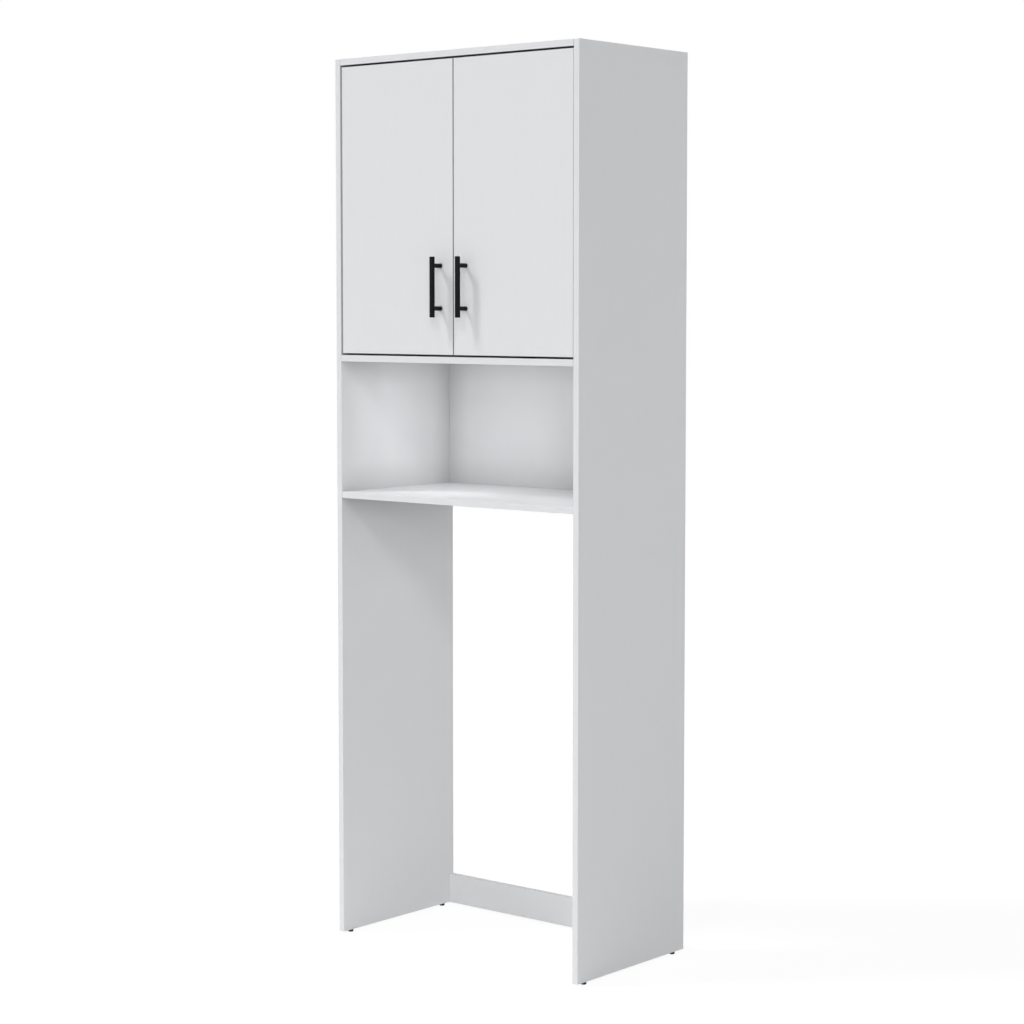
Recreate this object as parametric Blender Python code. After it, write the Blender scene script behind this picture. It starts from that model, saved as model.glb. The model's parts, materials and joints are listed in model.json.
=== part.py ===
# Tall storage cabinet: a two-door cupboard over an open niche and an open bay.
# Metres, +Z up, the front faces -Y and +X is to the right of a person who looks at the doors.
# The origin is on the floor, under the middle of the whole object, handles included.
import math

import bmesh
import bpy
from mathutils import Matrix, Vector

# Carcass boards
CARCASS_WIDTH = 0.725
CARCASS_DEPTH = 0.395
CARCASS_HEIGHT = 2.060
BOARD_THICKNESS = 0.015
EDGE_RADIUS = 0.0004
CUPBOARD_CLEAR_HEIGHT = 0.672
NICHE_CLEAR_HEIGHT = 0.306
RAIL_HEIGHT = 0.071

# Thin back panel, held in grooves
BACK_THICKNESS = 0.003
BACK_INSET = 0.010
GROOVE_DEPTH = 0.006

# Loose shelf in the cupboard and its pins
LOOSE_SHELF_CLEAR_BELOW = 0.330
LOOSE_SHELF_SETBACK = 0.009
LOOSE_SHELF_PLAY = 0.001
PIN_DIAMETER = 0.005
PIN_LENGTH = 0.016
PIN_CHAMFER = 0.0006
PIN_IN_PANEL = 0.008
PIN_SETBACK = 0.037
PIN_ROW_PITCH = 0.032
PIN_ROWS = 3

# Black glides under the side panels
FOOT_HEIGHT = 0.006
FOOT_DIAMETER = 0.013
FOOT_CHAMFER = 0.001
FOOT_SHANK_DIAMETER = 0.0026
FOOT_SHANK_LENGTH = 0.014
FOOT_FROM_FRONT = 0.031
FOOT_FROM_REAR = 0.035

# Cam fittings that pull the boards to the sides, and the dowels glued into the boards' ends beside them
CAM_DIAMETER = 0.015
CAM_SKIN = 0.0024
CAM_CHAMFER = 0.0005
CAM_FROM_BOARD_END = 0.024
CAM_FROM_BOARD_EDGE = 0.050
CAM_SLOT_LENGTH = 0.008
CAM_SLOT_WIDTH = 0.0016
CAM_SLOT_DEPTH = 0.002
BOLT_DIAMETER = 0.006
BOLT_IN_PANEL = 0.010
BOLT_NECK_DIAMETER = 0.004
BOLT_COLLAR_DIAMETER = 0.0068
DOWEL_DIAMETER = 0.008
DOWEL_IN_PANEL = 0.010
DOWEL_FROM_CAM = 0.032
RAIL_DOWEL_FROM_CAM = 0.020

# Doors, set in flush with the front; both hang a little to the right, as they do in the photograph
DOOR_THICKNESS = 0.015
DOOR_END_GAP = 0.0045
LEFT_DOOR_GAP = 0.006
MEETING_GAP = 0.003
RIGHT_DOOR_GAP = 0.0012

# Bar handles
HANDLE_LENGTH = 0.1367
HANDLE_HOLE_SPACING = 0.096
HANDLE_PROJECTION = 0.035
HANDLE_BAR_DIAMETER = 0.012
HANDLE_END_CHAMFER = 0.0006
HANDLE_POST_DIAMETER = 0.010
HANDLE_FROM_DOOR_EDGE = 0.0365
HANDLE_ABOVE_DOOR_BOTTOM = 0.0844
HANDLE_SCREW_DIAMETER = 0.004
HANDLE_SCREW_IN_POST = 0.009
HANDLE_SCREW_END_PLAY = 0.002
HANDLE_SCREW_HEAD_DIAMETER = 0.0084
HANDLE_SCREW_HEAD_HEIGHT = 0.0026

# Concealed hinges. IN is measured from the door's hinge edge towards its middle, BACK from its front face.
HINGE_FROM_DOOR_END = 0.100
AXIS_IN = 0.009
AXIS_BACK = 0.004
CUP_BORE_DIAMETER = 0.035
CUP_BORE_DEPTH = 0.012
CUP_FROM_DOOR_EDGE = 0.004
CUP_WALL = 0.0008
FLANGE_THICKNESS = 0.0012
FLANGE_RIM = 0.0015
WING_WIDTH = 0.014
WING_OFFSET = 0.0095
WING_LENGTH = 0.054
CUP_PIN_IN = 0.01125
CUP_PIN_BACK = 0.008
CUP_PIN_DIAMETER = 0.0017
CUP_NOTCH_HALF_HEIGHT = 0.0045
CUP_NOTCH_REACH = 0.004
ARM_PIN_IN = 0.028
ARM_PIN_BACK = 0.0085
ARM_PIN_DIAMETER = 0.0024
LINK_HALF_HEIGHT = 0.0035
LINK_THICKNESS = 0.0016
LINK_REACH_IN = 0.01586
LINK_REACH_BACK = 0.00029
LINK_ARM_EYE_DIAMETER = 0.0052
LINK_CUP_EYE_DIAMETER = 0.0054
LINK_CUP_BORE_DIAMETER = 0.0040
ARM_WIDTH = 0.0056
ARM_HALF_HEIGHT = 0.0065
ARM_SLOT_DEPTH = 0.004
ARM_BEND_BACK = 0.022
ARM_SEAT_IN = 0.013
ARM_SEAT_START_BACK = 0.036
ARM_SEAT_END_BACK = 0.086
PLATE_BASE_THICKNESS = 0.002
PLATE_WING_CENTRE_BACK = 0.052
PLATE_WING_WIDTH = 0.014
PLATE_WING_LENGTH = 0.048
PLATE_BLOCK_HALF_HEIGHT = 0.006
PLATE_BLOCK_INSET = 0.002

# Wood screws through the hinges' cups and plates, and what all the screws share
WOOD_SCREW_DIAMETER = 0.0032
WOOD_SCREW_DEPTH = 0.011
WOOD_SCREW_HEAD_DIAMETER = 0.0064
WOOD_SCREW_HEAD_HEIGHT = 0.0016
CUP_SCREW_SPACING = 0.045
PLATE_SCREW_SPACING = 0.032
SCREW_SEAT = 0.0004
SCREW_HEAD_CHAMFER = 0.0006
SCREW_DRIVE_DEPTH = 0.001
SCREW_DRIVE_LENGTH = 0.0044
SCREW_DRIVE_WIDTH = 0.001

# Clearances shared by everything
FIT_GAP = 0.0003
OVERRUN = 0.002
MERGE_DISTANCE = 0.000003

# Facets of round pieces, and the angle past which an edge is shaded sharp
WIDE_SIDES = 24
ROUND_SIDES = 20
SMALL_SIDES = 12
FASTENER_SIDES = 8
SHARP_DEGREES = 35

# Places worked out from the sizes above
X_INNER = CARCASS_WIDTH / 2 - BOARD_THICKNESS
Y_FRONT = (HANDLE_PROJECTION - CARCASS_DEPTH) / 2
Y_REAR = Y_FRONT + CARCASS_DEPTH
Z_BASE = FOOT_HEIGHT
Z_TOP = Z_BASE + CARCASS_HEIGHT
Z_TOP_PANEL = Z_TOP - BOARD_THICKNESS
Z_FLOOR_TOP = Z_TOP_PANEL - CUPBOARD_CLEAR_HEIGHT
Z_FLOOR = Z_FLOOR_TOP - BOARD_THICKNESS
Z_NICHE_TOP = Z_FLOOR - NICHE_CLEAR_HEIGHT
Z_NICHE = Z_NICHE_TOP - BOARD_THICKNESS
Y_BACK_REAR = Y_REAR - BACK_INSET
Y_BACK = Y_BACK_REAR - BACK_THICKNESS
Y_BOARD_REAR = Y_BACK - FIT_GAP
Z_DOOR = Z_FLOOR_TOP + DOOR_END_GAP
Z_DOOR_TOP = Z_TOP_PANEL - DOOR_END_GAP
Y_DOOR_BACK = Y_FRONT + DOOR_THICKNESS
DOOR_WIDTH = (2 * X_INNER - LEFT_DOOR_GAP - MEETING_GAP - RIGHT_DOOR_GAP) / 2
CAM_HEIGHT = BOARD_THICKNESS - CAM_SKIN - 2 * FIT_GAP
Z_LOOSE_SHELF = Z_FLOOR_TOP + LOOSE_SHELF_CLEAR_BELOW
Z_PIN = Z_LOOSE_SHELF - FIT_GAP - PIN_DIAMETER / 2
HINGE_HEIGHTS = {"lower": Z_DOOR + HINGE_FROM_DOOR_END, "upper": Z_DOOR_TOP - HINGE_FROM_DOOR_END}
Z_HANDLE = Z_DOOR + HANDLE_ABOVE_DOOR_BOTTOM + HANDLE_LENGTH / 2
POST_HEIGHTS = {"lower": Z_HANDLE - HANDLE_HOLE_SPACING / 2, "upper": Z_HANDLE + HANDLE_HOLE_SPACING / 2}
Y_HANDLE = Y_FRONT - HANDLE_PROJECTION + HANDLE_BAR_DIAMETER / 2
CUP_CENTRE_IN = CUP_FROM_DOOR_EDGE + CUP_BORE_DIAMETER / 2
CUP_SCREW_IN = CUP_CENTRE_IN + WING_OFFSET

# Each side: its sign along X and the gap between its panel and its door
SIDES = {"left": (-1, LEFT_DOOR_GAP), "right": (1, RIGHT_DOOR_GAP)}

# Colour, roughness and metallic value of each finish
LOOKS = {
    "white_board": ((0.76, 0.77, 0.78), 0.45, 0.0),
    "white_hardboard": ((0.72, 0.73, 0.73), 0.55, 0.0),
    "black_metal": ((0.012, 0.012, 0.013), 0.42, 0.9),
    "nickel": ((0.62, 0.61, 0.59), 0.28, 1.0),
    "zinc": ((0.50, 0.51, 0.52), 0.40, 1.0),
    "steel": ((0.56, 0.56, 0.57), 0.30, 1.0),
    "black_plastic": ((0.02, 0.02, 0.02), 0.50, 0.0),
}


def clear_scene():
    for obj in list(bpy.data.objects):
        bpy.data.objects.remove(obj, do_unlink=True)


def finish(name, look):
    """A material of the piece's own, in one of the cabinet's finishes."""
    colour, roughness, metallic = LOOKS[look]
    made = bpy.data.materials.new(name + "_" + look)
    made.use_nodes = True
    shader = made.node_tree.nodes["Principled BSDF"]
    shader.inputs["Base Color"].default_value = (*colour, 1.0)
    shader.inputs["Roughness"].default_value = roughness
    shader.inputs["Metallic"].default_value = metallic
    return made


def axis_empty(name, place):
    """An empty on a joint's axis, which carries the moving pieces."""
    empty = bpy.data.objects.new(name, None)
    bpy.context.collection.objects.link(empty)
    empty.location = place
    return empty


def piece(name, shape, look, origin=(0.0, 0.0, 0.0), parent=None, smooth=False):
    """An object from a shape drawn in place; its origin goes to the given point."""
    bmesh.ops.translate(shape, verts=shape.verts, vec=-Vector(origin))
    mesh = bpy.data.meshes.new(name)
    shape.to_mesh(mesh)
    shape.free()
    if smooth:
        mesh.shade_smooth()
        mesh.set_sharp_from_angle(angle=math.radians(SHARP_DEGREES))
    obj = bpy.data.objects.new(name, mesh)
    bpy.context.collection.objects.link(obj)
    obj.location = Vector(origin)
    if parent:
        obj.parent = parent
        obj.location = Vector(origin) - parent.location
    if look:
        mesh.materials.append(finish(name, look))
    return obj


def combine(target, shape, operation):
    """A Boolean of the target with a second shape, drawn in place and kept as a hidden guide."""
    number = len(target.modifiers)
    base = target.location + (target.parent.location if target.parent else Vector())
    guide = piece(f"{target.name}_{operation.lower()}_{number}", shape, None, origin=base)
    guide.parent = target
    guide.location = (0.0, 0.0, 0.0)
    guide.hide_render = True
    guide.display_type = "WIRE"
    boolean = target.modifiers.new(f"{operation.title()} {number}", "BOOLEAN")
    boolean.operation = operation
    boolean.object = guide


def cut(target, shape):
    combine(target, shape, "DIFFERENCE")


def join(target, shape):
    combine(target, shape, "UNION")


def soften(target, width, segments=1):
    bevel = target.modifiers.new("Soft edges", "BEVEL")
    bevel.width = width
    bevel.segments = segments
    bevel.limit_method = "ANGLE"


def block(low, high, shape=None):
    """A box from its low corner to its high corner."""
    shape = shape or bmesh.new()
    low, high = Vector(low), Vector(high)
    made = bmesh.ops.create_cube(shape, size=1.0)
    stretch = Matrix.LocRotScale((low + high) / 2, None, high - low)
    bmesh.ops.transform(shape, matrix=stretch, verts=made["verts"])
    return shape


def rod(start, end, radius, sides, shape=None):
    """A cylinder from one point to another."""
    shape = shape or bmesh.new()
    start, end = Vector(start), Vector(end)
    bmesh.ops.create_cone(shape, cap_ends=True, segments=sides, radius1=radius, radius2=radius,
                          depth=(end - start).length, matrix=facing((start + end) / 2, end - start))
    return shape


def hole(start, end, radius, shape=None):
    """A small round cutter whose flats, not its corners, lie at the hole's radius."""
    return rod(start, end, radius / math.cos(math.pi / FASTENER_SIDES), FASTENER_SIDES, shape)


def gathered(shapes):
    """Several shapes as one, for a guide that cuts or adds them all at once."""
    group = bmesh.new()
    for shape in shapes:
        member = bpy.data.meshes.new("member")
        shape.to_mesh(member)
        shape.free()
        group.from_mesh(member)
        bpy.data.meshes.remove(member)
    return group


def placed(shape, place):
    bmesh.ops.transform(shape, matrix=place, verts=shape.verts)
    return shape


def facing(place, direction):
    """The placement that turns local +Z to a direction and puts the origin at a point."""
    turn = Vector((0, 0, 1)).rotation_difference(Vector(direction)).to_matrix().to_4x4()
    return Matrix.Translation(place) @ turn


def turned(profile, place, direction, sides):
    """A profile of (radius, height) points, from pole to pole, turned round an axis."""
    shape = bmesh.new()
    verts = [shape.verts.new((radius, 0, height)) for radius, height in profile]
    edges = [shape.edges.new(pair) for pair in zip(verts, verts[1:])]
    bmesh.ops.spin(shape, geom=verts + edges, axis=(0, 0, 1), cent=(0, 0, 0), angle=math.tau,
                   steps=sides, use_merge=True)
    bmesh.ops.remove_doubles(shape, verts=shape.verts, dist=MERGE_DISTANCE)
    bmesh.ops.recalc_face_normals(shape, faces=shape.faces)
    return placed(shape, facing(place, direction))


def prism(outline, bottom, top):
    """A flat outline in X and Y, extruded from one height to another."""
    shape = bmesh.new()
    face = shape.faces.new([shape.verts.new((x, y, bottom)) for x, y in outline])
    grown = bmesh.ops.extrude_face_region(shape, geom=[face])
    lifted = [item for item in grown["geom"] if isinstance(item, bmesh.types.BMVert)]
    bmesh.ops.translate(shape, verts=lifted, vec=(0, 0, top - bottom))
    bmesh.ops.recalc_face_normals(shape, faces=shape.faces)
    return shape


def arc(centre, radius, first, last, steps):
    """Points on a circle, between two angles in degrees."""
    points = []
    for step in range(steps + 1):
        angle = math.radians(first + (last - first) * step / steps)
        points.append((centre[0] + radius * math.cos(angle), centre[1] + radius * math.sin(angle)))
    return points


def cross(length, width, bottom, top):
    """A cross-shaped prism, for the slots of cams and screws."""
    long, short = length / 2, width / 2
    corner = [(long, -short), (long, short), (short, short)]
    outline = []
    for quarter in range(4):
        turn = Matrix.Rotation(quarter * math.pi / 2, 2)
        outline += [tuple(turn @ Vector(point)) for point in corner]
    return prism(outline, bottom, top)


def spread(spacing):
    """Two places, half the spacing to either side of zero."""
    return (-spacing / 2, spacing / 2)


def board(name, low, high):
    """One melamine-faced board with its edges just broken."""
    made = piece(name, block(low, high), "white_board", origin=(Vector(low) + Vector(high)) / 2)
    soften(made, EDGE_RADIUS)
    return made


def pin_places():
    """Where the loose shelf's pins stand, front and rear."""
    return {"front": Y_DOOR_BACK + PIN_SETBACK, "rear": Y_BACK - PIN_SETBACK}


def foot_places():
    return {"front": Y_FRONT + FOOT_FROM_FRONT, "rear": Y_REAR - FOOT_FROM_REAR}


def joint_places():
    """For each board between the sides: the (y, z) of its cam bolts and of its dowels, at mid-thickness."""
    places = {}
    for name, low, rear in (("top", Z_TOP_PANEL, Y_BACK), ("floor", Z_FLOOR, Y_BOARD_REAR),
                            ("shelf", Z_NICHE, Y_BOARD_REAR)):
        height = low + BOARD_THICKNESS / 2
        front_cam, rear_cam = Y_FRONT + CAM_FROM_BOARD_EDGE, rear - CAM_FROM_BOARD_EDGE
        bolts = {"front": (front_cam, height), "rear": (rear_cam, height)}
        places[name] = (bolts, [(front_cam + DOWEL_FROM_CAM, height), (rear_cam - DOWEL_FROM_CAM, height)])
    y, height = Y_REAR - BOARD_THICKNESS / 2, Z_BASE + RAIL_HEIGHT / 2
    places["rail"] = ({"": (y, height)}, [(y, height + RAIL_DOWEL_FROM_CAM)])
    return places


def make_side_panel(side):
    """Full-height side with its back groove and its holes for pins, glides, screws, bolts and dowels."""
    sign, _ = SIDES[side]
    outer, inner = sign * CARCASS_WIDTH / 2, sign * X_INNER
    panel = board(f"side_panel_{side}", (min(outer, inner), Y_FRONT, Z_BASE),
                  (max(outer, inner), Y_REAR, Z_TOP))
    deep, proud = inner + sign * GROOVE_DEPTH, inner - sign * OVERRUN
    holes = block((min(deep, proud), Y_BACK - FIT_GAP, Z_NICHE - FIT_GAP),
                  (max(deep, proud), Y_BACK_REAR + FIT_GAP, Z_TOP_PANEL + GROOVE_DEPTH))

    def drill(y, z, depth, diameter):
        hole((proud, y, z), (inner + sign * (depth + FIT_GAP), y, z), diameter / 2 + FIT_GAP, holes)

    for y in pin_places().values():
        for row in range(PIN_ROWS):
            drill(y, Z_PIN + (row - (PIN_ROWS - 1) / 2) * PIN_ROW_PITCH, PIN_IN_PANEL, PIN_DIAMETER)
    for bolts, dowels in joint_places().values():
        for y, z in bolts.values():
            drill(y, z, BOLT_IN_PANEL, BOLT_DIAMETER)
        for y, z in dowels:
            drill(y, z, DOWEL_IN_PANEL, DOWEL_DIAMETER)
    for height in HINGE_HEIGHTS.values():
        for z in spread(PLATE_SCREW_SPACING):
            drill(Y_FRONT + PLATE_WING_CENTRE_BACK, height + z, WOOD_SCREW_DEPTH, WOOD_SCREW_DIAMETER)
    middle = (outer + inner) / 2
    for y in foot_places().values():
        hole((middle, y, Z_BASE - OVERRUN), (middle, y, Z_BASE + FOOT_SHANK_LENGTH + FIT_GAP),
             FOOT_SHANK_DIAMETER / 2 + FIT_GAP, holes)
    cut(panel, holes)


def make_cam(name, centre, inward):
    """A cam and the bolt that it grips, as one solid; inward points from the bored face into the board."""
    radius = CAM_DIAMETER / 2
    side = math.copysign(1, centre.x)
    place = centre - inward * (BOARD_THICKNESS / 2 - FIT_GAP)
    disc = [(0, 0), (radius - CAM_CHAMFER, 0), (radius, CAM_CHAMFER), (radius, CAM_HEIGHT), (0, CAM_HEIGHT)]
    cam = piece(name, turned(disc, place, inward, ROUND_SIDES), "zinc", origin=centre, smooth=True)
    thread, neck, collar = BOLT_DIAMETER / 2, BOLT_NECK_DIAMETER / 2, BOLT_COLLAR_DIAMETER / 2
    collar_end = CAM_FROM_BOARD_END - radius - FIT_GAP
    bolt = [(0, -BOLT_IN_PANEL), (thread, -BOLT_IN_PANEL), (thread, FIT_GAP), (collar, FIT_GAP),
            (collar, collar_end), (neck, collar_end), (neck, CAM_FROM_BOARD_END), (0, CAM_FROM_BOARD_END)]
    join(cam, turned(bolt, (side * X_INNER, centre.y, centre.z), (-side, 0, 0), FASTENER_SIDES))
    slot = cross(CAM_SLOT_LENGTH, CAM_SLOT_WIDTH, -OVERRUN, CAM_SLOT_DEPTH)
    cut(cam, placed(slot, facing(place, inward)))


def join_to_sides(target, stem, inward):
    """The cams at both ends of one board, the bores and bolt holes for them, and the dowels beside them."""
    bolts, dowels = joint_places()[stem]
    inward = Vector(inward)
    bores, holes, pegs = bmesh.new(), bmesh.new(), bmesh.new()
    for side, (sign, _) in SIDES.items():
        for row, (y, z) in bolts.items():
            centre = Vector((sign * (X_INNER - CAM_FROM_BOARD_END), y, z))
            make_cam("_".join(filter(None, ("cam", stem, side, row))), centre, inward)
            face = centre - inward * BOARD_THICKNESS / 2
            rod(face - inward * OVERRUN, face + inward * (BOARD_THICKNESS - CAM_SKIN),
                CAM_DIAMETER / 2 + FIT_GAP, ROUND_SIDES, bores)
            hole((sign * (X_INNER + OVERRUN), y, z), centre, BOLT_COLLAR_DIAMETER / 2 + FIT_GAP, holes)
        for y, z in dowels:
            rod((sign * (X_INNER - OVERRUN), y, z), (sign * (X_INNER + DOWEL_IN_PANEL), y, z),
                DOWEL_DIAMETER / 2, FASTENER_SIDES, pegs)
    cut(target, bores)
    cut(target, holes)
    join(target, pegs)


def make_cross_boards():
    """Top panel, cupboard floor and niche shelf, each between the side panels."""
    end = X_INNER - FIT_GAP
    top = board("top_panel", (-end, Y_FRONT, Z_TOP_PANEL), (end, Y_REAR, Z_TOP))
    cut(top, block((-end - OVERRUN, Y_BACK - FIT_GAP, Z_TOP_PANEL - OVERRUN),
                   (end + OVERRUN, Y_BACK_REAR + FIT_GAP, Z_TOP_PANEL + GROOVE_DEPTH)))
    join_to_sides(top, "top", (0, 0, 1))
    for name, stem, low in (("cupboard_floor", "floor", Z_FLOOR), ("niche_shelf", "shelf", Z_NICHE)):
        made = board(name, (-end, Y_FRONT, low), (end, Y_BOARD_REAR, low + BOARD_THICKNESS))
        join_to_sides(made, stem, (0, 0, 1))


def make_back_panel():
    """Thin panel in the grooves, from the niche shelf's underside up into the top panel."""
    half = X_INNER + GROOVE_DEPTH - FIT_GAP
    low = (-half, Y_BACK, Z_NICHE)
    high = (half, Y_BACK_REAR, Z_TOP_PANEL + GROOVE_DEPTH - FIT_GAP)
    piece("back_panel", block(low, high), "white_hardboard", origin=(Vector(low) + Vector(high)) / 2)


def make_rear_rail():
    """Low stretcher between the sides at the back, with a cam at each end of its rear face."""
    end = X_INNER - FIT_GAP
    rail = board("rear_rail", (-end, Y_REAR - BOARD_THICKNESS, Z_BASE), (end, Y_REAR, Z_BASE + RAIL_HEIGHT))
    join_to_sides(rail, "rail", (0, -1, 0))


def make_feet():
    """Four glides: a chamfered disc on a nail that is driven into the side panel's end."""
    radius, shank = FOOT_DIAMETER / 2, FOOT_SHANK_DIAMETER / 2
    shoulder, tip = Z_BASE - FIT_GAP, Z_BASE + FOOT_SHANK_LENGTH
    profile = [(0, 0), (radius - FOOT_CHAMFER, 0), (radius, FOOT_CHAMFER), (radius, shoulder),
               (shank, shoulder), (shank, tip), (0, tip)]
    for side, (sign, _) in SIDES.items():
        x = sign * (X_INNER + BOARD_THICKNESS / 2)
        for row, y in foot_places().items():
            glide = turned(profile, (x, y, 0), (0, 0, 1), ROUND_SIDES)
            piece(f"foot_{side}_{row}", glide, "black_plastic", origin=(x, y, 0), smooth=True)


def make_loose_shelf():
    """Shelf inside the cupboard, resting on four pins."""
    half = X_INNER - LOOSE_SHELF_PLAY
    board("loose_shelf", (-half, Y_DOOR_BACK + LOOSE_SHELF_SETBACK, Z_LOOSE_SHELF),
          (half, Y_BACK - LOOSE_SHELF_PLAY, Z_LOOSE_SHELF + BOARD_THICKNESS))
    radius = PIN_DIAMETER / 2
    profile = [(0, 0), (radius - PIN_CHAMFER, 0), (radius, PIN_CHAMFER), (radius, PIN_LENGTH - PIN_CHAMFER),
               (radius - PIN_CHAMFER, PIN_LENGTH), (0, PIN_LENGTH)]
    for side, (sign, _) in SIDES.items():
        for row, y in pin_places().items():
            place = (sign * (X_INNER + PIN_IN_PANEL), y, Z_PIN)
            piece(f"shelf_pin_{side}_{row}", turned(profile, place, (-sign, 0, 0), SMALL_SIDES), "steel",
                  origin=place, smooth=True)


def hinge_place(side, height):
    """The door's hinge edge at its front face, with local +X running towards the door's middle."""
    sign, gap = SIDES[side]
    turn = Matrix.Rotation(math.pi, 4, "Y") if sign > 0 else Matrix.Identity(4)
    return Matrix.Translation((sign * (X_INNER - gap), Y_FRONT, height)) @ turn


def screw_solid(place, direction, diameter, head_diameter, head_height, length):
    """A pan-head screw; place is the middle of its head's top, and direction runs to its tip."""
    shank, head = diameter / 2, head_diameter / 2
    profile = [(0, 0), (head - SCREW_HEAD_CHAMFER, 0), (head, SCREW_HEAD_CHAMFER), (head, head_height),
               (shank, head_height), (shank, length), (0, length)]
    return turned(profile, place, direction, FASTENER_SIDES)


def screw_drive(place, direction):
    """The cross-shaped recess of a screw's head."""
    return placed(cross(SCREW_DRIVE_LENGTH, SCREW_DRIVE_WIDTH, -OVERRUN, SCREW_DRIVE_DEPTH),
                  facing(place, direction))


def screw_down(fitting, place, points, direction, through):
    """Wood screws joined to the fitting that they hold; each point is on the face that a head sits on."""
    direction = Vector(direction)
    above = WOOD_SCREW_HEAD_HEIGHT - SCREW_SEAT
    length = above + through + FIT_GAP + WOOD_SCREW_DEPTH
    tops = [Vector(point) - direction * above for point in points]
    solids = [screw_solid(top, direction, WOOD_SCREW_DIAMETER, WOOD_SCREW_HEAD_DIAMETER,
                          WOOD_SCREW_HEAD_HEIGHT, length) for top in tops]
    join(fitting, placed(gathered(solids), place))
    cut(fitting, placed(gathered([screw_drive(top, direction) for top in tops]), place))


def make_door(side, axis, handle_x):
    """Door with two cup bores in its back, their screw holes and two holes for the handle's screws."""
    sign, gap = SIDES[side]
    edge, meeting = sign * (X_INNER - gap), sign * (X_INNER - gap - DOOR_WIDTH)
    low, high = (min(edge, meeting), Y_FRONT, Z_DOOR), (max(edge, meeting), Y_DOOR_BACK, Z_DOOR_TOP)
    door = piece(f"door_{side}", block(low, high), "white_board", origin=axis.location, parent=axis)
    soften(door, EDGE_RADIUS)
    bores = []
    for height in HINGE_HEIGHTS.values():
        bore = rod((CUP_CENTRE_IN, DOOR_THICKNESS + OVERRUN, 0),
                   (CUP_CENTRE_IN, DOOR_THICKNESS - CUP_BORE_DEPTH, 0), CUP_BORE_DIAMETER / 2, WIDE_SIDES)
        tip = DOOR_THICKNESS - WOOD_SCREW_DEPTH - FIT_GAP
        for z in spread(CUP_SCREW_SPACING):
            hole((CUP_SCREW_IN, DOOR_THICKNESS + OVERRUN, z), (CUP_SCREW_IN, tip, z),
                 WOOD_SCREW_DIAMETER / 2 + FIT_GAP, bore)
        bores.append(placed(bore, hinge_place(side, height)))
    for height in POST_HEIGHTS.values():
        bores.append(hole((handle_x, Y_FRONT - OVERRUN, height), (handle_x, Y_DOOR_BACK + OVERRUN, height),
                          HANDLE_SCREW_DIAMETER / 2 + FIT_GAP))
    cut(door, gathered(bores))


def make_handle(side, axis, x):
    """Round bar on two round posts, each held by a screw from inside the door."""
    ends = [(x, Y_HANDLE, Z_HANDLE + half) for half in spread(HANDLE_LENGTH)]
    bar = piece(f"handle_bar_{side}", rod(*ends, HANDLE_BAR_DIAMETER / 2, ROUND_SIDES), "black_metal",
                origin=axis.location, parent=axis, smooth=True)
    soften(bar, HANDLE_END_CHAMFER)
    foot = Y_FRONT - FIT_GAP
    towards_front = (0, -1, 0)
    length = HANDLE_SCREW_HEAD_HEIGHT + FIT_GAP + DOOR_THICKNESS + HANDLE_SCREW_IN_POST
    for row, height in POST_HEIGHTS.items():
        post = piece(f"handle_post_{side}_{row}",
                     rod((x, foot, height), (x, Y_HANDLE, height), HANDLE_POST_DIAMETER / 2, ROUND_SIDES),
                     "black_metal", origin=axis.location, parent=axis, smooth=True)
        inside = (x, Y_FRONT - HANDLE_SCREW_IN_POST - HANDLE_SCREW_END_PLAY, height)
        cut(post, hole((x, foot + OVERRUN, height), inside, HANDLE_SCREW_DIAMETER / 2 + FIT_GAP))
        cut(post, rod(*ends, HANDLE_BAR_DIAMETER / 2 + FIT_GAP, ROUND_SIDES))
        top = (x, Y_DOOR_BACK + FIT_GAP + HANDLE_SCREW_HEAD_HEIGHT, height)
        solid = screw_solid(top, towards_front, HANDLE_SCREW_DIAMETER, HANDLE_SCREW_HEAD_DIAMETER,
                            HANDLE_SCREW_HEAD_HEIGHT, length)
        screw = piece(f"handle_screw_{side}_{row}", solid, "steel", origin=axis.location, parent=axis,
                      smooth=True)
        cut(screw, screw_drive(top, towards_front))


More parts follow.
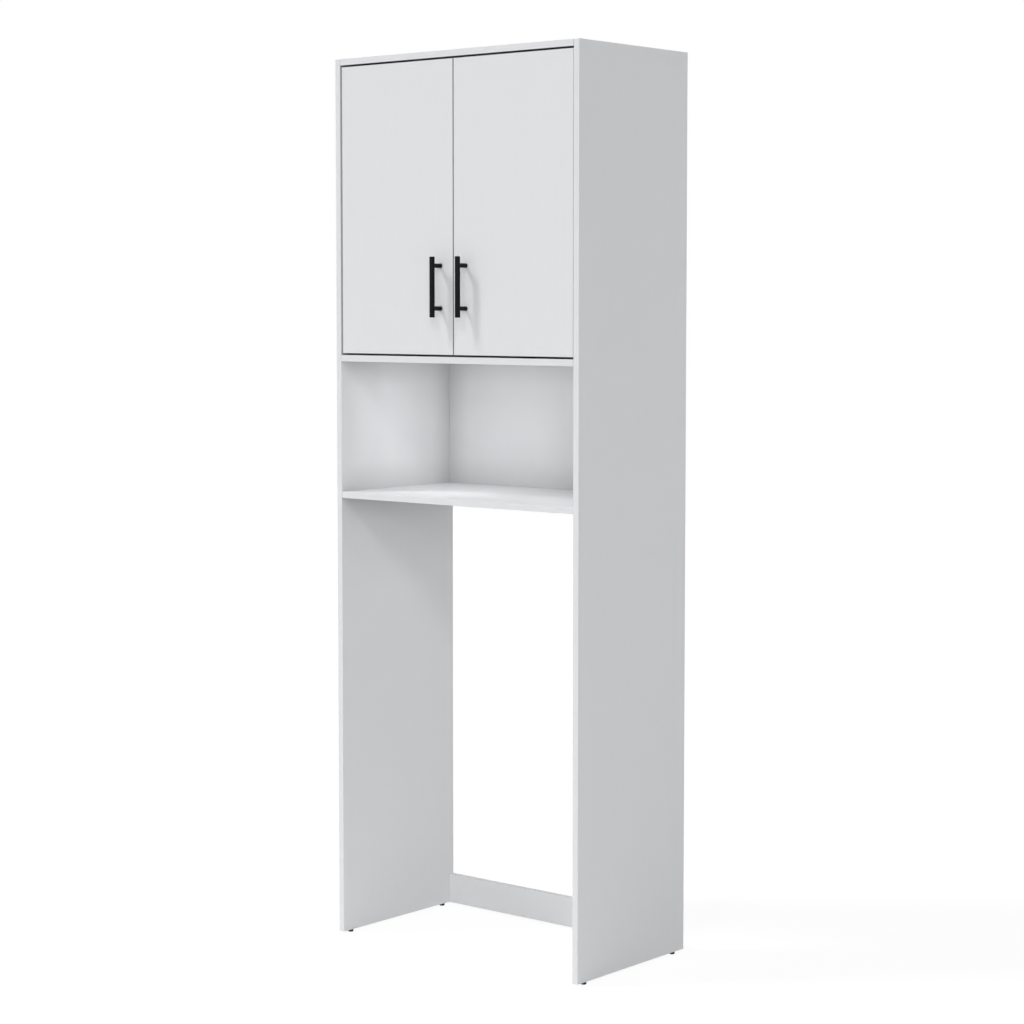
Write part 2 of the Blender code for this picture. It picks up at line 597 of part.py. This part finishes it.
def make_hinge_cup(name, place, axis):
    """Steel cup in the door's bore, its wings screwed to the door's back, and the pin in its link's hook."""
    outer = CUP_BORE_DIAMETER / 2 - FIT_GAP
    cavity = outer - CUP_WALL
    bottom = DOOR_THICKNESS - CUP_BORE_DEPTH + FIT_GAP
    seat = DOOR_THICKNESS + FIT_GAP
    top = seat + FLANGE_THICKNESS
    rim = CUP_BORE_DIAMETER / 2 + FLANGE_RIM
    profile = [(0, bottom), (outer, bottom), (outer, seat), (rim, seat), (rim, top), (cavity, top),
               (cavity, bottom + CUP_WALL), (0, bottom + CUP_WALL)]
    body = turned(profile, (CUP_CENTRE_IN, 0, 0), (0, 1, 0), WIDE_SIDES)
    cup = piece(name, placed(body, place), "nickel", origin=axis.location, parent=axis, smooth=True)
    for half in (-1, 1):
        reach = [half * (cavity + CUP_WALL / 2 - WING_OFFSET / 2), half * WING_LENGTH / 2]
        low = (CUP_SCREW_IN - WING_WIDTH / 2, seat, min(reach))
        high = (CUP_SCREW_IN + WING_WIDTH / 2, top, max(reach))
        join(cup, placed(block(low, high), place))
    notch_low = (CUP_FROM_DOOR_EDGE - FLANGE_RIM - OVERRUN, CUP_PIN_BACK, -CUP_NOTCH_HALF_HEIGHT)
    notch_high = (CUP_FROM_DOOR_EDGE + CUP_NOTCH_REACH, top + OVERRUN, CUP_NOTCH_HALF_HEIGHT)
    cut(cup, placed(block(notch_low, notch_high), place))
    half_chord = math.sqrt(cavity ** 2 - (CUP_CENTRE_IN - CUP_PIN_IN) ** 2) + CUP_WALL / 2
    ends = [(CUP_PIN_IN, CUP_PIN_BACK, half * half_chord) for half in (-1, 1)]
    join(cup, placed(rod(*ends, CUP_PIN_DIAMETER / 2, SMALL_SIDES), place))
    heads = [(CUP_SCREW_IN, top, z) for z in spread(CUP_SCREW_SPACING)]
    screw_down(cup, place, heads, (0, -1, 0), FLANGE_THICKNESS)


def make_hinge_link(name, place, parent):
    """Link between the arm's pin and the cup's pin; its cup eye is wide, as that pivot is the open one."""
    arm_pin = Vector((ARM_PIN_IN, ARM_PIN_BACK))
    cup_eye = arm_pin - Vector((LINK_REACH_IN, LINK_REACH_BACK))
    heading = math.degrees(math.atan2(LINK_REACH_BACK, LINK_REACH_IN))
    outline = []
    for centre, eye, middle in ((cup_eye, LINK_CUP_EYE_DIAMETER, heading),
                                (arm_pin, LINK_ARM_EYE_DIAMETER, heading + 180)):
        open_by = math.degrees(math.asin(LINK_THICKNESS / eye))
        outline += arc(centre, eye / 2, middle + open_by, middle + 360 - open_by, SMALL_SIDES)
    body = prism(outline, -LINK_HALF_HEIGHT, LINK_HALF_HEIGHT)
    link = piece(name, placed(body, place), "nickel", origin=parent.location, parent=parent, smooth=True)
    bores = bmesh.new()
    reach = LINK_HALF_HEIGHT + OVERRUN
    for centre, radius in ((arm_pin, ARM_PIN_DIAMETER / 2 + FIT_GAP), (cup_eye, LINK_CUP_BORE_DIAMETER / 2)):
        rod((*centre, -reach), (*centre, reach), radius, ROUND_SIDES, bores)
    cut(link, placed(bores, place))


def make_hinge_arm(name, place):
    """Cranked arm from the plate on the side panel to the two cheeks and the pin inside the cup."""
    half = ARM_WIDTH / 2
    nose = Vector((ARM_PIN_IN, ARM_PIN_BACK))
    bend = Vector((ARM_PIN_IN, ARM_BEND_BACK))
    seat = Vector((ARM_SEAT_IN, ARM_SEAT_START_BACK))
    lean = math.atan2(bend.x - seat.x, seat.y - bend.y)
    shift = half * math.tan(lean / 2)
    outline = arc(nose, half, 180, 360, SMALL_SIDES // 2)
    outline += [(bend.x + half, bend.y + shift), (seat.x + half, seat.y + shift),
                (seat.x + half, ARM_SEAT_END_BACK), (seat.x - half, ARM_SEAT_END_BACK),
                (seat.x - half, seat.y - shift), (bend.x - half, bend.y - shift)]
    body = prism(outline, -ARM_HALF_HEIGHT, ARM_HALF_HEIGHT)
    arm = piece(name, placed(body, place), "nickel", origin=place.translation, smooth=True)
    low = (nose.x - half - OVERRUN, nose.y - half - OVERRUN, -LINK_HALF_HEIGHT - FIT_GAP)
    high = (nose.x + half + OVERRUN, nose.y + ARM_SLOT_DEPTH, LINK_HALF_HEIGHT + FIT_GAP)
    cut(arm, placed(block(low, high), place))
    reach = (ARM_HALF_HEIGHT + LINK_HALF_HEIGHT) / 2
    join(arm, placed(rod((*nose, -reach), (*nose, reach), ARM_PIN_DIAMETER / 2, ROUND_SIDES), place))


def make_hinge_plate(name, place, gap):
    """Mounting plate: wings screwed to the side panel, and the block that the arm sits on."""
    face = FIT_GAP - gap
    top = face + PLATE_BASE_THICKNESS
    middle = PLATE_WING_CENTRE_BACK
    wings = block((face, middle - PLATE_WING_WIDTH / 2, -PLATE_WING_LENGTH / 2),
                  (top, middle + PLATE_WING_WIDTH / 2, PLATE_WING_LENGTH / 2))
    plate = piece(name, placed(wings, place), "nickel", origin=place.translation)
    join(plate, placed(block((face, ARM_SEAT_START_BACK + PLATE_BLOCK_INSET, -PLATE_BLOCK_HALF_HEIGHT),
                             (ARM_SEAT_IN - ARM_WIDTH / 2 - FIT_GAP, ARM_SEAT_END_BACK - PLATE_BLOCK_INSET,
                              PLATE_BLOCK_HALF_HEIGHT)), place))
    screw_down(plate, place, [(top, middle, z) for z in spread(PLATE_SCREW_SPACING)], (-1, 0, 0),
               PLATE_BASE_THICKNESS)


def make_door_set(side):
    """A door with its handle and its two hinges, turning about one vertical axis."""
    sign, gap = SIDES[side]
    middle = (Z_DOOR + Z_DOOR_TOP) / 2
    axis = axis_empty(f"door_{side}_axis", hinge_place(side, middle) @ Vector((AXIS_IN, AXIS_BACK, 0)))
    handle_x = sign * (X_INNER - gap - DOOR_WIDTH + HANDLE_FROM_DOOR_EDGE)
    make_door(side, axis, handle_x)
    make_handle(side, axis, handle_x)
    for row, height in HINGE_HEIGHTS.items():
        place = hinge_place(side, height)
        make_hinge_cup(f"hinge_cup_{side}_{row}", place, axis)
        make_hinge_arm(f"hinge_arm_{side}_{row}", place)
        make_hinge_plate(f"hinge_plate_{side}_{row}", place, gap)
        pivot = axis_empty(f"link_{side}_{row}_axis", place @ Vector((ARM_PIN_IN, ARM_PIN_BACK, 0)))
        make_hinge_link(f"hinge_link_{side}_{row}", place, pivot)


clear_scene()
for panel_side in SIDES:
    make_side_panel(panel_side)
make_cross_boards()
make_back_panel()
make_rear_rail()
make_feet()
make_loose_shelf()
for door_side in SIDES:
    make_door_set(door_side)
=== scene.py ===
# White storage cabinet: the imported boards, back panel, handles and hinges get their finish, and then come
# the camera, the light and the floor.
import json
import math

import bmesh
import bpy
import numpy as np
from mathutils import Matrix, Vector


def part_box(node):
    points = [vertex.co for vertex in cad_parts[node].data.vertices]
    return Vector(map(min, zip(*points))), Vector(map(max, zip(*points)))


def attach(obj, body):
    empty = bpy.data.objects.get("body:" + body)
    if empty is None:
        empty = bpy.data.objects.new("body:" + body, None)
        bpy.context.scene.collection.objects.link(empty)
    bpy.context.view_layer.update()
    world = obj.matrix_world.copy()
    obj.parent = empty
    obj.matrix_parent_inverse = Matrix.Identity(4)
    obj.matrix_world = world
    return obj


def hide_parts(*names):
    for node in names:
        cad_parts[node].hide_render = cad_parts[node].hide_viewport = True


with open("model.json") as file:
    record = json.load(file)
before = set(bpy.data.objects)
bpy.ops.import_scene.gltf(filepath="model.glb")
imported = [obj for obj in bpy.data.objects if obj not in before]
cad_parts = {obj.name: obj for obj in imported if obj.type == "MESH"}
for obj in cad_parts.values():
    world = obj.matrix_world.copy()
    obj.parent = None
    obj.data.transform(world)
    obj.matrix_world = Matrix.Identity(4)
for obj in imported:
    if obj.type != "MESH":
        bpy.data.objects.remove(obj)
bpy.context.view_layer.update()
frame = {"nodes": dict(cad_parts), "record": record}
nodes = frame["nodes"]
print("frame loaded:", len(nodes), "pieces")


# Shader helpers
def wire(tree, kind, inputs=None, **options):  # one shader node, its sockets filled with values or with links
    node = tree.nodes.new("ShaderNode" + kind)
    for name, value in options.items():
        setattr(node, name, value)
    for name, value in (inputs or {}).items():
        if isinstance(value, bpy.types.NodeSocket):
            tree.links.new(value, node.inputs[name])
        else:
            node.inputs[name].default_value = value
    return node


def startMaterial(name, sockets):  # a principled material with its fixed values set on the shader itself
    made = bpy.data.materials.new(name)
    made.use_nodes = True
    shader = made.node_tree.nodes["Principled BSDF"]
    for socket, value in sockets.items():
        shader.inputs[socket].default_value = value
    return made, made.node_tree, shader


def opaque(colour):
    return (*colour, 1.0)


def darker(colour, share):
    return [channel * share for channel in colour]


def mixColours(tree, amount, first, second):  # a Mix node has its colours in sockets 6, 7 and 2
    return wire(tree, "Mix", {"Factor": amount, 6: first, 7: second}, data_type="RGBA").outputs[2]


def noiseOn(tree, point, size, detail=2.0, scaling=(1.0, 1.0, 1.0)):
    # noise whose lumps are about one size across; a scaling below 1 draws them out along that axis
    stretched = wire(tree, "Mapping", {"Vector": point, "Scale": scaling})
    noise = wire(tree, "TexNoise", {"Vector": stretched.outputs["Vector"], "Scale": 1.0 / size,
                                    "Detail": detail})
    return noise.outputs["Fac"]


noiseRange = (0.3, 0.7)    # where nearly all of a noise's values lie


def toneBetween(tree, noise, dark, light):  # a colour from dark to light as the noise crosses its range
    spread = wire(tree, "MapRange", {"Value": noise, "From Min": noiseRange[0], "From Max": noiseRange[1]})
    return mixColours(tree, spread.outputs["Result"], opaque(dark), opaque(light))


def reliefOn(tree, shader, heights, strength, distance, below=None):  # a bump that can lie on another bump
    inputs = {"Height": heights, "Strength": strength, "Distance": distance}
    if below:
        inputs["Normal"] = below.outputs["Normal"]
    bump = wire(tree, "Bump", inputs)
    tree.links.new(bump.outputs["Normal"], shader.inputs["Normal"])
    return bump


# Painted shade, put into the boards' colour where they meet, in the gaps round the doors and under the niche
# shelf
# The shade that gathers where boards meet. It acts in a band of heights: in full as far as "full" from the
# band's middle, and not at all from "gone". The floor throws none in the photograph, so the corners' band
# starts well above it
corners = {"reach": 0.07, "share": 0.36, "samples": 12, "middle": 2.0, "full": 1.1, "gone": 1.2}
withoutCorners = ("door_left", "door_right", "niche_shelf", "rear_rail")
underNiche = {**corners, "reach": 0.24, "share": 0.42, "middle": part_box("niche_shelf")[0].z - 0.15,
              "full": 0.15, "gone": 0.16}
furtherShade = {
    "top_panel": {**corners, "reach": 0.02, "share": 0.93},    # the gap above the doors
    "door_left": {**corners, "reach": 0.005, "share": 0.95},   # the gap between the doors
    "side_panel_left": underNiche,
    "side_panel_right": underNiche,
}


def addShade(tree, place, colour, values):
    # painted shade: the colour times one less a share of how much of the sky the neighbours within reach hide
    height = wire(tree, "SeparateXYZ", {"Vector": place}).outputs["Z"]
    above = wire(tree, "Math", {0: height, 1: values["middle"]}, operation="SUBTRACT")
    away = wire(tree, "Math", {0: above.outputs["Value"]}, operation="ABSOLUTE")
    lowest = wire(tree, "MapRange", {"Value": away.outputs["Value"],
                                     "From Min": values["full"], "From Max": values["gone"],
                                     "To Min": 1.0 - values["share"], "To Max": 1.0})
    openness = wire(tree, "AmbientOcclusion", {"Distance": values["reach"]}, samples=values["samples"])
    kept = wire(tree, "MapRange", {"Value": openness.outputs["AO"], "To Min": lowest.outputs["Result"]})
    shaded = wire(tree, "VectorMath", {0: colour, "Scale": kept.outputs["Result"]}, operation="SCALE")
    return shaded.outputs["Vector"]


def dress(names, material):
    for name in names:
        nodes[name].data.materials.clear()
        nodes[name].data.materials.append(material)


# White melamine, with a very faint pressed grain along each board
melamine = {
    "colour": (0.838, 0.84, 0.844),
    "ior": 1.5,
    "specular": 0.35,
    "smoothest": 0.40,
    "roughest": 0.50,
    "grainShade": 0.99,         # the grain's dark streaks, as a share of the colour
    "grainLength": 0.16,
    "grainWidth": 0.0035,
    "grainDetail": 4.0,
    "grainRelief": 0.4,
    "peelSize": 0.0012,
    "peelRelief": 0.5,
    "reliefHeight": 0.00002,
    "bandThickness": 0.0008,    # plastic edge band
    "bandLine": 0.00012,        # half the width of its glue line
    "bandShade": 0.86,
}


def glueLines(tree, place, low, high, bands):
    # 1 in a hairline one band's thickness inside each banded edge, 0 elsewhere
    apart = wire(tree, "SeparateXYZ", {"Vector": place})
    total = None
    for axis, end in bands:
        index = "XYZ".index(axis)
        line = high[index] - melamine["bandThickness"] if end > 0 else low[index] + melamine["bandThickness"]
        compared = {0: apart.outputs[axis], 1: line, 2: melamine["bandLine"]}
        hit = wire(tree, "Math", compared, operation="COMPARE").outputs["Value"]
        if total:
            hit = wire(tree, "Math", {0: total, 1: hit}, operation="MAXIMUM").outputs["Value"]
        total = hit
    return total


def makeMelamine(name, grain, bands):
    values = melamine
    fixed = {"IOR": values["ior"], "Specular IOR Level": values["specular"]}
    made, tree, shader = startMaterial("melamine_" + name, fixed)
    place = wire(tree, "TexCoord").outputs["Object"]
    scaling = [1.0, 1.0, 1.0]
    scaling["XYZ".index(grain)] = values["grainWidth"] / values["grainLength"]
    streaks = noiseOn(tree, place, values["grainWidth"], values["grainDetail"], scaling)
    colour = toneBetween(tree, streaks, darker(values["colour"], values["grainShade"]), values["colour"])
    low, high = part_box(name)
    glue = opaque(darker(values["colour"], values["bandShade"]))
    colour = mixColours(tree, glueLines(tree, place, low, high, bands), colour, glue)
    # painted shade in the corners, and further painted shade in the door gaps and under the niche shelf
    if name not in withoutCorners:
        colour = addShade(tree, place, colour, corners)
    if name in furtherShade:
        colour = addShade(tree, place, colour, furtherShade[name])
    tree.links.new(colour, shader.inputs["Base Color"])
    rough = wire(tree, "MapRange", {"Value": streaks, "To Min": values["smoothest"],
                                    "To Max": values["roughest"]})
    tree.links.new(rough.outputs["Result"], shader.inputs["Roughness"])
    peel = noiseOn(tree, place, values["peelSize"])
    first = reliefOn(tree, shader, peel, values["peelRelief"], values["reliefHeight"])
    reliefOn(tree, shader, streaks, values["grainRelief"], values["reliefHeight"], first)
    dress([name], made)


frontOnly = [("Y", -1)]
allRound = [("X", -1), ("X", 1), ("Z", -1), ("Z", 1)]
boards = {    # the way of each board's grain, and its banded edges
    "side_panel_left": ("Z", frontOnly), "side_panel_right": ("Z", frontOnly),
    "top_panel": ("X", frontOnly), "cupboard_floor": ("X", frontOnly), "niche_shelf": ("X", frontOnly),
    "loose_shelf": ("X", frontOnly), "rear_rail": ("X", [("Z", 1)]),
    "door_left": ("Z", allRound), "door_right": ("Z", allRound),
}
for boardName, (grainAxis, bandedEdges) in boards.items():
    makeMelamine(boardName, grainAxis, bandedEdges)
print("boards finished:", len(boards))


# Hardboard back: white lacquer inside, and the press's screen printed into its rear face
hardboard = {
    "colour": (0.812, 0.814, 0.818),
    "specular": 0.3,
    "roughness": 0.55,
    "rearShade": 0.95,
    "screenPitch": 0.0016,
    "screenDepth": 0.00006,
    "screenRelief": 0.6,
    "cloudSize": 0.05,
    "cloudDetail": 3.0,
    "cloudShade": 0.985,
}


def makeHardboard():
    # the screen is a sine along X times a sine along Z, on the rear half alone
    values = hardboard
    fixed = {"Roughness": values["roughness"], "Specular IOR Level": values["specular"]}
    made, tree, shader = startMaterial("hardboard", fixed)
    place = wire(tree, "TexCoord").outputs["Object"]
    apart = wire(tree, "SeparateXYZ", {"Vector": place})
    low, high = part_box("back_panel")
    halves = {0: apart.outputs["Y"], 1: (low.y + high.y) / 2}
    isRear = wire(tree, "Math", halves, operation="GREATER_THAN").outputs["Value"]
    waves = []
    for axis in "XZ":
        turned = {0: apart.outputs[axis], 1: math.tau / values["screenPitch"]}
        turns = wire(tree, "Math", turned, operation="MULTIPLY")
        waves.append(wire(tree, "Math", {0: turns.outputs["Value"]}, operation="SINE").outputs["Value"])
    screen = wire(tree, "Math", {0: waves[0], 1: waves[1]}, operation="MULTIPLY")
    onRear = wire(tree, "Math", {0: screen.outputs["Value"], 1: isRear}, operation="MULTIPLY")
    reliefOn(tree, shader, onRear.outputs["Value"], values["screenRelief"], values["screenDepth"])
    clouds = noiseOn(tree, place, values["cloudSize"], values["cloudDetail"])
    white = toneBetween(tree, clouds, darker(values["colour"], values["cloudShade"]), values["colour"])
    colour = mixColours(tree, isRear, white, opaque(darker(values["colour"], values["rearShade"])))
    # painted shade in the back panel's corners
    tree.links.new(addShade(tree, place, colour, corners), shader.inputs["Base Color"])
    dress(["back_panel"], made)


makeHardboard()
print("back panel finished")


# Metal and plastic: variation is the dark shade as a share of the colour, and lump and height are those of
# the surface's texture
finishes = {
    "powderBlack": {"colour": (0.0040, 0.0040, 0.0044), "roughness": 0.42, "metallic": 0.0, "specular": 0.13,
                    "lump": 0.0006, "height": 0.00002, "variation": 0.8},
    "nickel": {"colour": (0.62, 0.61, 0.59), "roughness": 0.26, "metallic": 1.0, "specular": 0.5,
               "lump": 0.0025, "height": 0.000004, "variation": 0.93},
    "zinc": {"colour": (0.50, 0.51, 0.52), "roughness": 0.42, "metallic": 1.0, "specular": 0.5,
             "lump": 0.0010, "height": 0.00002, "variation": 0.86},
    "steel": {"colour": (0.58, 0.58, 0.59), "roughness": 0.28, "metallic": 1.0, "specular": 0.5,
              "lump": 0.0012, "height": 0.000005, "variation": 0.9},
    "glideBlack": {"colour": (0.014, 0.014, 0.014), "roughness": 0.5, "metallic": 0.0, "specular": 0.3,
                   "lump": 0.0007, "height": 0.00003, "variation": 0.8},
}
texture = {"detail": 3.0, "relief": 0.6, "smoothest": 0.85, "roughest": 1.15}    # last two: times roughness


def makeFinish(name):
    values = finishes[name]
    fixed = {"Metallic": values["metallic"], "Specular IOR Level": values["specular"]}
    made, tree, shader = startMaterial(name, fixed)
    place = wire(tree, "TexCoord").outputs["Object"]
    lumps = noiseOn(tree, place, values["lump"], texture["detail"])
    colour = toneBetween(tree, lumps, darker(values["colour"], values["variation"]), values["colour"])
    tree.links.new(colour, shader.inputs["Base Color"])
    rough = wire(tree, "MapRange", {"Value": lumps, "To Min": values["roughness"] * texture["smoothest"],
                                    "To Max": values["roughness"] * texture["roughest"]})
    tree.links.new(rough.outputs["Result"], shader.inputs["Roughness"])
    reliefOn(tree, shader, lumps, texture["relief"], values["height"])
    return made


slotFinish = {"black_metal": "powderBlack", "nickel": "nickel", "zinc": "zinc", "steel": "steel",
              "black_plastic": "glideBlack"}
madeFinishes = {name: makeFinish(name) for name in finishes}
for part in frame["record"]["subparts"]:
    if part["material_slot"] in slotFinish:
        dress([part["node"]], madeFinishes[slotFinish[part["material_slot"]]])
print("finishes made:", len(madeFinishes))


# New surfaces
def tidyMesh(mesh, mergeWithin=0.000002, sharpDegrees=32):
    whole = bmesh.new()
    whole.from_mesh(mesh)
    bmesh.ops.remove_doubles(whole, verts=whole.verts, dist=mergeWithin)
    bmesh.ops.recalc_face_normals(whole, faces=whole.faces)
    whole.to_mesh(mesh)
    whole.free()
    mesh.shade_smooth()
    mesh.set_sharp_from_angle(angle=math.radians(sharpDegrees))


def meshFromRings(name, points, material, body):
    # points is rings by places round the ring by 3; a first or last ring that shrinks to one point closes the
    # surface with a pole
    rings, around = points.shape[:2]
    index = np.arange(rings * around).reshape(rings, around)
    after = np.roll(index, -1, axis=1)
    faces = np.stack([index[:-1], after[:-1], after[1:], index[1:]], axis=-1).reshape(-1, 4)
    mesh = bpy.data.meshes.new(name)
    mesh.from_pydata(points.reshape(-1, 3).tolist(), [], faces.tolist())
    made = bpy.data.objects.new(name, mesh)
    bpy.context.collection.objects.link(made)
    tidyMesh(mesh)
    mesh.materials.append(material)
    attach(made, body)
    return made


def ringAngles(count):
    return np.linspace(0.0, math.tau, count, endpoint=False)


def softEnd(radius, softness, steps):
    # radius and depth from the pole out along the flat end and round its broken edge: as the turn goes from a
    # quarter to none, the radius is the flat's plus softness times the cosine of the turn, and the depth is
    # softness less softness times its sine
    flat = radius - softness
    turn = np.linspace(0.0, math.pi / 2, steps)[::-1]
    radii = flat + (radius - flat) * np.cos(turn)
    depths = softness - softness * np.sin(turn)
    return np.concatenate([[0.0, flat / 2], radii]), np.concatenate([[0.0, 0.0], depths])


# Bar handles: a round bar with softly broken ends, on two round posts that fit its curve
handle = {
    "sides": 64,
    "endSoftness": 0.0009,
    "endSteps": 5,
    "footSoftness": 0.0004,
    "footSteps": 4,
    "postRows": 6,
}


def makeHandleBar(side):
    # radius against height: out of the soft lower end, up the bar, and into the same end turned over
    low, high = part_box("handle_bar_" + side)
    middle, radius = (low + high) / 2, (high.x - low.x) / 2
    endRadii, endDepths = softEnd(radius, handle["endSoftness"], handle["endSteps"])
    radii = np.concatenate([endRadii, endRadii[::-1]])[:, None]
    heights = np.concatenate([low.z + endDepths, high.z - endDepths[::-1]])[:, None]
    angle = ringAngles(handle["sides"])
    points = np.stack([middle.x + radii * np.cos(angle), middle.y + radii * np.sin(angle),
                       np.repeat(heights, len(angle), axis=1)], axis=-1)
    bar = meshFromRings("bar_" + side, points, madeFinishes["powderBlack"], side + "_door")
    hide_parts("handle_bar_" + side)
    return middle, radius


def makeHandlePost(side, row, barMiddle, barRadius):
    # the rings run from the door towards the bar, and the last follows the bar's own curve: the depth of a
    # point at x from the post's axis is the bar's centre plus the root of its radius squared less x squared
    low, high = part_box(f"handle_post_{side}_{row}")
    middle, radius = (low + high) / 2, (high.x - low.x) / 2
    angle = ringAngles(handle["sides"])
    footRadii, footDepths = softEnd(radius, handle["footSoftness"], handle["footSteps"])
    saddle = barMiddle.y + np.sqrt(barRadius ** 2 - (radius * np.cos(angle)) ** 2)
    foot = high.y - footDepths[:, None] + np.zeros(len(angle))
    share = np.linspace(0.0, 1.0, handle["postRows"])[1:, None]
    shaft = foot[-1] + (saddle - foot[-1]) * share
    depths = np.concatenate([foot, shaft, np.full((1, len(angle)), barMiddle.y + barRadius)])
    radii = np.concatenate([footRadii, np.full(len(share), radius), [0.0]])[:, None]
    points = np.stack([middle.x + radii * np.cos(angle), depths, middle.z + radii * np.sin(angle)], axis=-1)
    black = madeFinishes["powderBlack"]
    post = meshFromRings(f"post_{side}_{row}", points, black, side + "_door")
    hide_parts(f"handle_post_{side}_{row}")


for side in ("left", "right"):
    barMiddle, barRadius = makeHandleBar(side)
    for row in ("lower", "upper"):
        makeHandlePost(side, row, barMiddle, barRadius)
print("handles made")


# Camera, at the photograph's place
camera = {
    "place": (3.6477, -4.3234, 1.5031),
    "turnDegrees": 39.97,       # from straight ahead towards the left
    "downDegrees": 3.954,
    "lens": 86.04,
    "sensor": 36.0,
    "shift": -0.04,
}
cameraData = bpy.data.cameras.new("camera")
cameraData.lens = camera["lens"]
cameraData.sensor_width = camera["sensor"]
cameraData.shift_y = camera["shift"]
cameraObject = bpy.data.objects.new("camera", cameraData)
cameraObject.location = camera["place"]
tilt, turn = math.radians(90 - camera["downDegrees"]), math.radians(camera["turnDegrees"])
cameraObject.rotation_euler = (tilt, 0.0, turn)
bpy.context.collection.objects.link(cameraObject)
bpy.context.scene.camera = cameraObject


# Light: a tall key from the upper left and a weaker lamp from the right, each small enough for the handles'
# shadows to keep their form, two lamps beside the camera, a broad one behind the cabinet, and an even
# surround
lights = {
    "keyHigh": {"towards": (31.5, 29.0, -60.0), "strength": 0.68, "softDegrees": 10.0},
    "keyLow": {"towards": (31.0, 29.0, -46.0), "strength": 0.66, "softDegrees": 10.0},
    "second": {"towards": (-9.5, 29.0, -28.0), "strength": 0.40, "softDegrees": 12.0},
    "broadHigh": {"towards": (-58.0, 69.0, -58.0), "strength": 0.30, "softDegrees": 12.0},
    "broadLow": {"towards": (-58.0, 69.0, -24.0), "strength": 0.29, "softDegrees": 12.0},
    "behind": {"towards": (0.0, -80.0, -50.0), "strength": 0.22, "softDegrees": 40.0},
}
surround = {"level": 0.336, "background": 1.0}
lampTint = (0.977, 0.985, 1.0)


def addSun(name, values):
    sun = bpy.data.lights.new(name, "SUN")
    sun.energy = values["strength"]
    sun.color = lampTint
    sun.angle = math.radians(values["softDegrees"])
    made = bpy.data.objects.new(name, sun)
    x, y, z = values["towards"]
    made.rotation_euler = (math.atan2(math.hypot(x, y), -z), 0.0, math.atan2(x, -y) + math.pi)
    bpy.context.collection.objects.link(made)


# Lamps inside the niche, each with what it keeps clear at the niche's left, right and front, and above and
# below. The first two face the back panel. The third faces the left wall, and has a depth instead of a left
# margin
nicheLamps = {
    "nicheWide": {"power": 0.144, "left": 0.06, "right": 0.06, "front": 0.12, "ends": 0.04},
    "nicheLeft": {"power": 0.085, "left": 0.08, "right": 0.38, "front": 0.03, "ends": 0.08},
    "nicheSide": {"power": 0.090, "depth": 0.20, "right": 0.34, "front": 0.01, "ends": 0.09},
}


def addNicheLamp(name, values):  # lights the niche and isn't seen itself
    left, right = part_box("side_panel_left")[1].x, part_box("side_panel_right")[0].x - values["right"]
    bottom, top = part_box("niche_shelf")[1].z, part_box("cupboard_floor")[0].z
    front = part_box("niche_shelf")[0].y + values["front"]
    height = top - bottom - 2 * values["ends"]
    lamp = bpy.data.lights.new(name, "AREA")
    lamp.shape = "RECTANGLE"
    lamp.energy = values["power"]
    lamp.color = lampTint
    made = bpy.data.objects.new(name, lamp)
    if "depth" in values:
        lamp.size, lamp.size_y = height, values["depth"]
        made.location = (right, front + values["depth"] / 2, (bottom + top) / 2)
        made.rotation_euler = (0.0, math.radians(90), 0.0)
    else:
        left += values["left"]
        lamp.size, lamp.size_y = right - left, height
        made.location = ((left + right) / 2, front, (bottom + top) / 2)
        made.rotation_euler = (math.radians(90), 0.0, 0.0)
    made.visible_camera = made.visible_glossy = False
    bpy.context.collection.objects.link(made)


for lightName, lightValues in lights.items():
    addSun(lightName, lightValues)
for lampName, lampValues in nicheLamps.items():
    addNicheLamp(lampName, lampValues)


def seenDirectly(tree):  # 1 for what the camera, a reflection or glass sees, 0 for light that falls on things
    path = wire(tree, "LightPath").outputs
    either = wire(tree, "Math", {0: path["Is Camera Ray"], 1: path["Is Glossy Ray"]}, operation="MAXIMUM")
    seen = {0: either.outputs["Value"], 1: path["Is Transmission Ray"]}
    return wire(tree, "Math", seen, operation="MAXIMUM").outputs["Value"]


world = bpy.data.worlds.new("surround")
world.use_nodes = True
worldTree = world.node_tree
lit = worldTree.nodes["Background"]
lit.inputs["Color"].default_value = opaque(lampTint)
lit.inputs["Strength"].default_value = surround["level"]
white = wire(worldTree, "Background", {"Color": (1.0, 1.0, 1.0, 1.0), "Strength": surround["background"]})
worldMix = wire(worldTree, "MixShader", {0: seenDirectly(worldTree), 1: lit.outputs["Background"],
                                         2: white.outputs["Background"]})
worldTree.links.new(worldMix.outputs["Shader"], worldTree.nodes["World Output"].inputs["Surface"])
bpy.context.scene.world = world

# Floor: white to the camera, with only a trace of the cabinet's shadow
floor = {"reach": 9.0, "colour": (0.85, 0.85, 0.85), "whiteShare": 0.82, "white": 1.09}


def makeFloor():
    reach = floor["reach"]
    mesh = bpy.data.meshes.new("floor")
    edge = [(-reach, -reach, 0), (reach, -reach, 0), (reach, reach, 0), (-reach, reach, 0)]
    mesh.from_pydata(edge, [], [(0, 1, 2, 3)])
    made = bpy.data.objects.new("floor", mesh)
    bpy.context.collection.objects.link(made)
    paint = bpy.data.materials.new("floor")
    paint.use_nodes = True
    tree = paint.node_tree
    tree.nodes.remove(tree.nodes["Principled BSDF"])
    matt = wire(tree, "BsdfDiffuse", {"Color": opaque(floor["colour"])})
    glow = wire(tree, "Emission", {"Color": (1.0, 1.0, 1.0, 1.0), "Strength": floor["white"]})
    share = wire(tree, "Math", {0: seenDirectly(tree), 1: floor["whiteShare"]}, operation="MULTIPLY")
    mix = wire(tree, "MixShader", {0: share.outputs["Value"], 1: matt.outputs["BSDF"],
                                   2: glow.outputs["Emission"]})
    tree.links.new(mix.outputs["Shader"], tree.nodes["Material Output"].inputs["Surface"])
    mesh.materials.append(paint)


makeFloor()
bpy.context.scene.view_settings.view_transform = "Standard"
print("camera, light and floor set")
